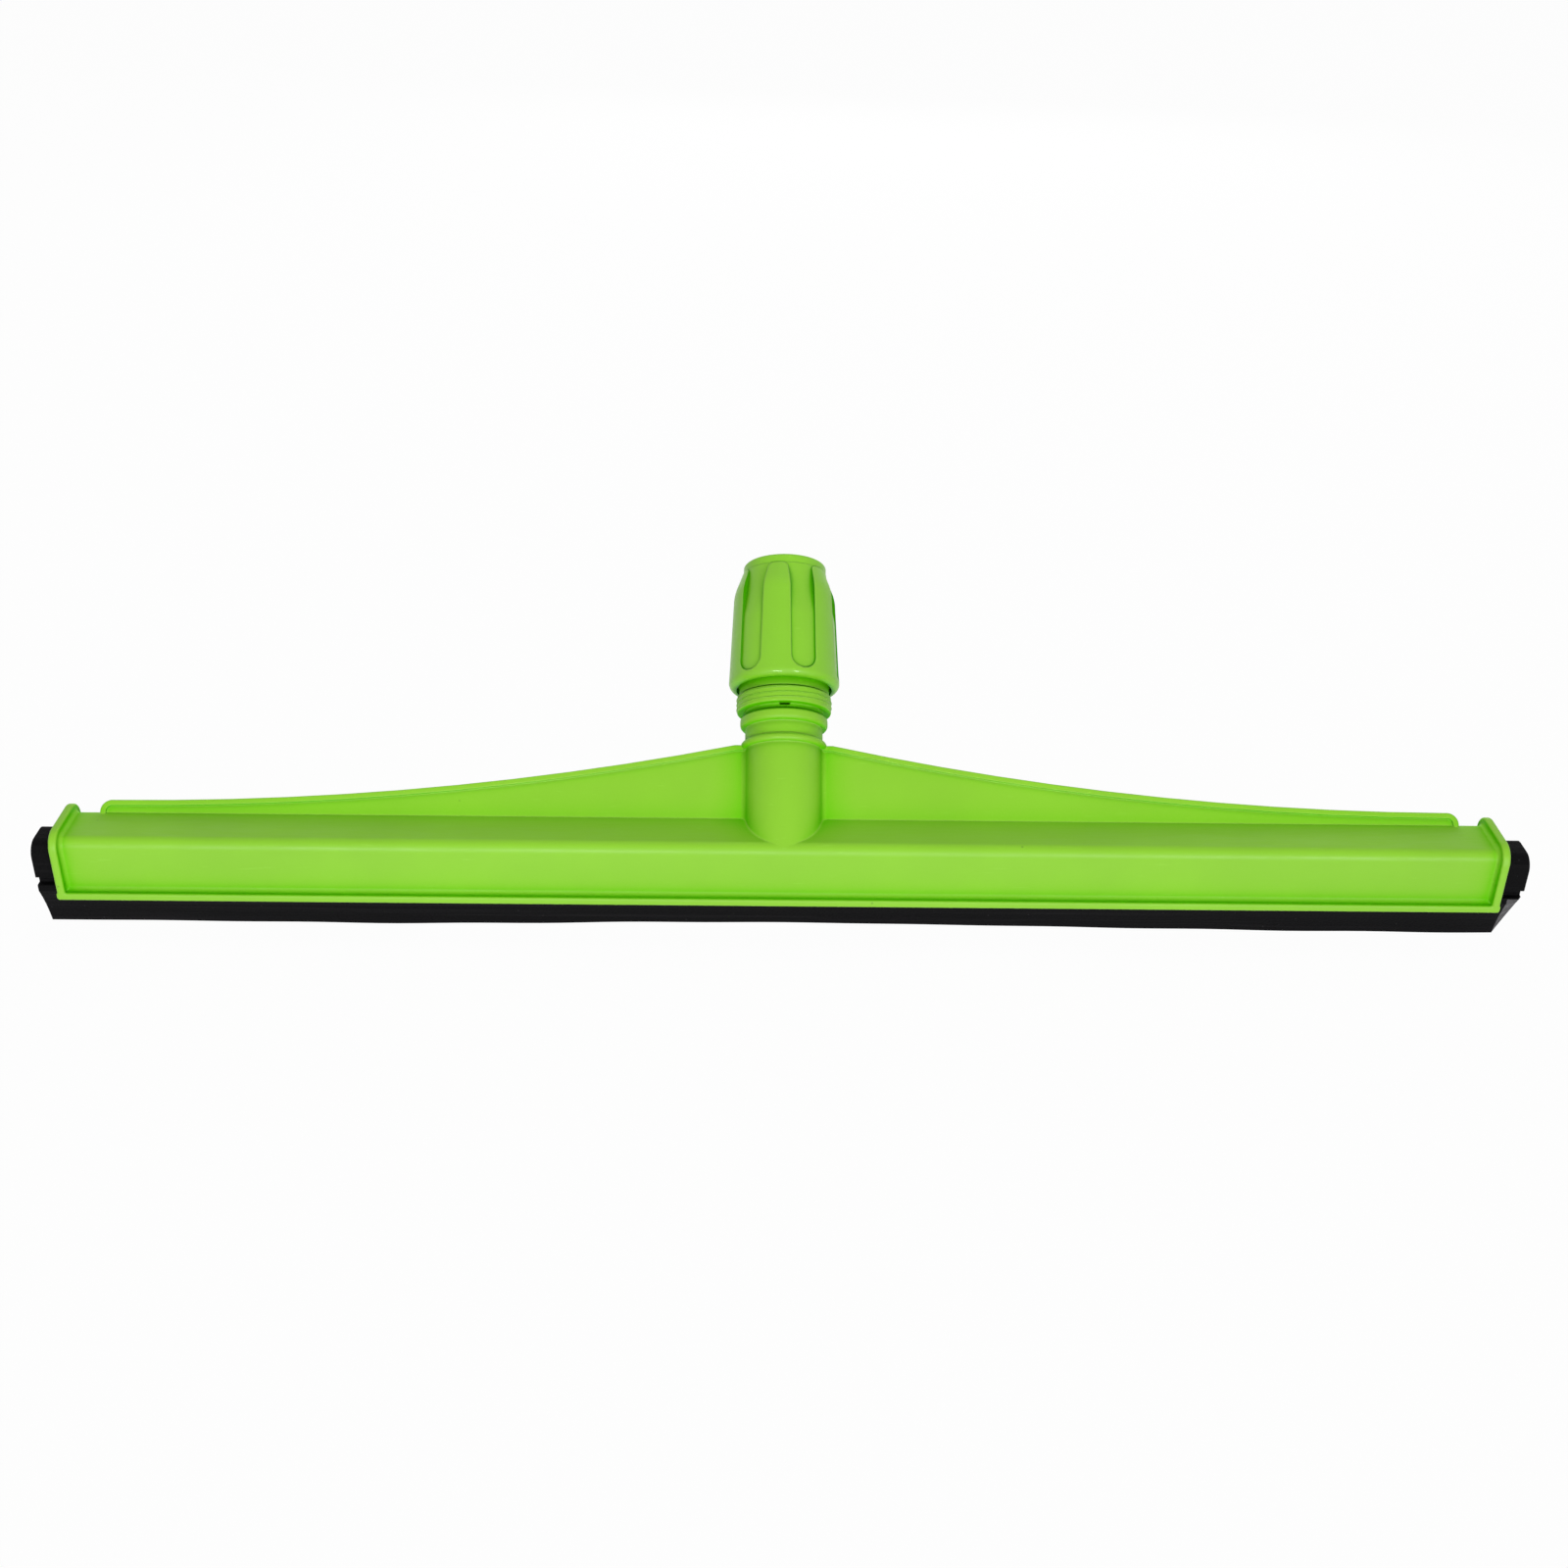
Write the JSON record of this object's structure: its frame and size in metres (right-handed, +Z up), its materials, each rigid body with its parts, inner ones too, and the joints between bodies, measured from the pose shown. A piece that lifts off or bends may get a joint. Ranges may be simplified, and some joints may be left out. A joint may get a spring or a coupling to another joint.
{
  "type": "floor squeegee",
  "caption": "Floor squeegee head: moulded channel frame with a leaning web and handle socket, a fluted screw collar over a split collet, and a double-lipped foam rubber blade.",
  "frame": {"origin": "middle of the blade's edge, on the floor, half way between the two lips", "axes": "+X along the blade to the right seen from the front, +Y to the back where the handle leans, +Z up"},
  "size_m": [0.5516, 0.1065, 0.1218],
  "materials": {
    "green_polypropylene": "satin moulded",
    "black_foam_rubber": "matt extruded skin"
  },
  "bodies": {
    "frame": {"frame": "green_polypropylene"},
    "collar": {"collar": "green_polypropylene"},
    "collet_finger_1": {"collet_finger_1": "green_polypropylene"},
    "collet_finger_2": {"collet_finger_2": "green_polypropylene"},
    "collet_finger_3": {"collet_finger_3": "green_polypropylene"},
    "collet_finger_4": {"collet_finger_4": "green_polypropylene"},
    "rubber_blade": {"rubber_blade": "black_foam_rubber"}
  },
  "joints": [
    {"name": "collar_turn", "type": "hinge", "parent": "frame", "child": "collar", "pos_m": [0, 0.01002, 0.03973], "axis": [0, -0.7071, -0.7071], "range_deg": [0, 540]},
    {"name": "finger_1_flex", "type": "hinge", "parent": "frame", "child": "collet_finger_1", "pos_m": [0, 0.06245, 0.07314], "axis": [1, 0, 0], "range_deg": [0, 1.5]},
    {"name": "finger_2_flex", "type": "hinge", "parent": "frame", "child": "collet_finger_2", "pos_m": [-0.01345, 0.05294, 0.08265], "axis": [0, 0.7071, -0.7071], "range_deg": [0, 1.5]},
    {"name": "finger_3_flex", "type": "hinge", "parent": "frame", "child": "collet_finger_3", "pos_m": [0, 0.04343, 0.09216], "axis": [-1, 0, 0], "range_deg": [0, 1.5]},
    {"name": "finger_4_flex", "type": "hinge", "parent": "frame", "child": "collet_finger_4", "pos_m": [0.01345, 0.05294, 0.08265], "axis": [0, -0.7071, 0.7071], "range_deg": [0, 1.5]},
    {"name": "blade_slide", "type": "slide", "parent": "frame", "child": "rubber_blade", "axis": [1, 0, 0], "range_m": [-0.5, 0.5]}
  ],
  "couplings": [
    {"joint": "finger_1_flex", "follows": "collar_turn", "ratio": 0.002777},
    {"joint": "finger_2_flex", "follows": "collar_turn", "ratio": 0.002777},
    {"joint": "finger_3_flex", "follows": "collar_turn", "ratio": 0.002777},
    {"joint": "finger_4_flex", "follows": "collar_turn", "ratio": 0.002777}
  ]
}
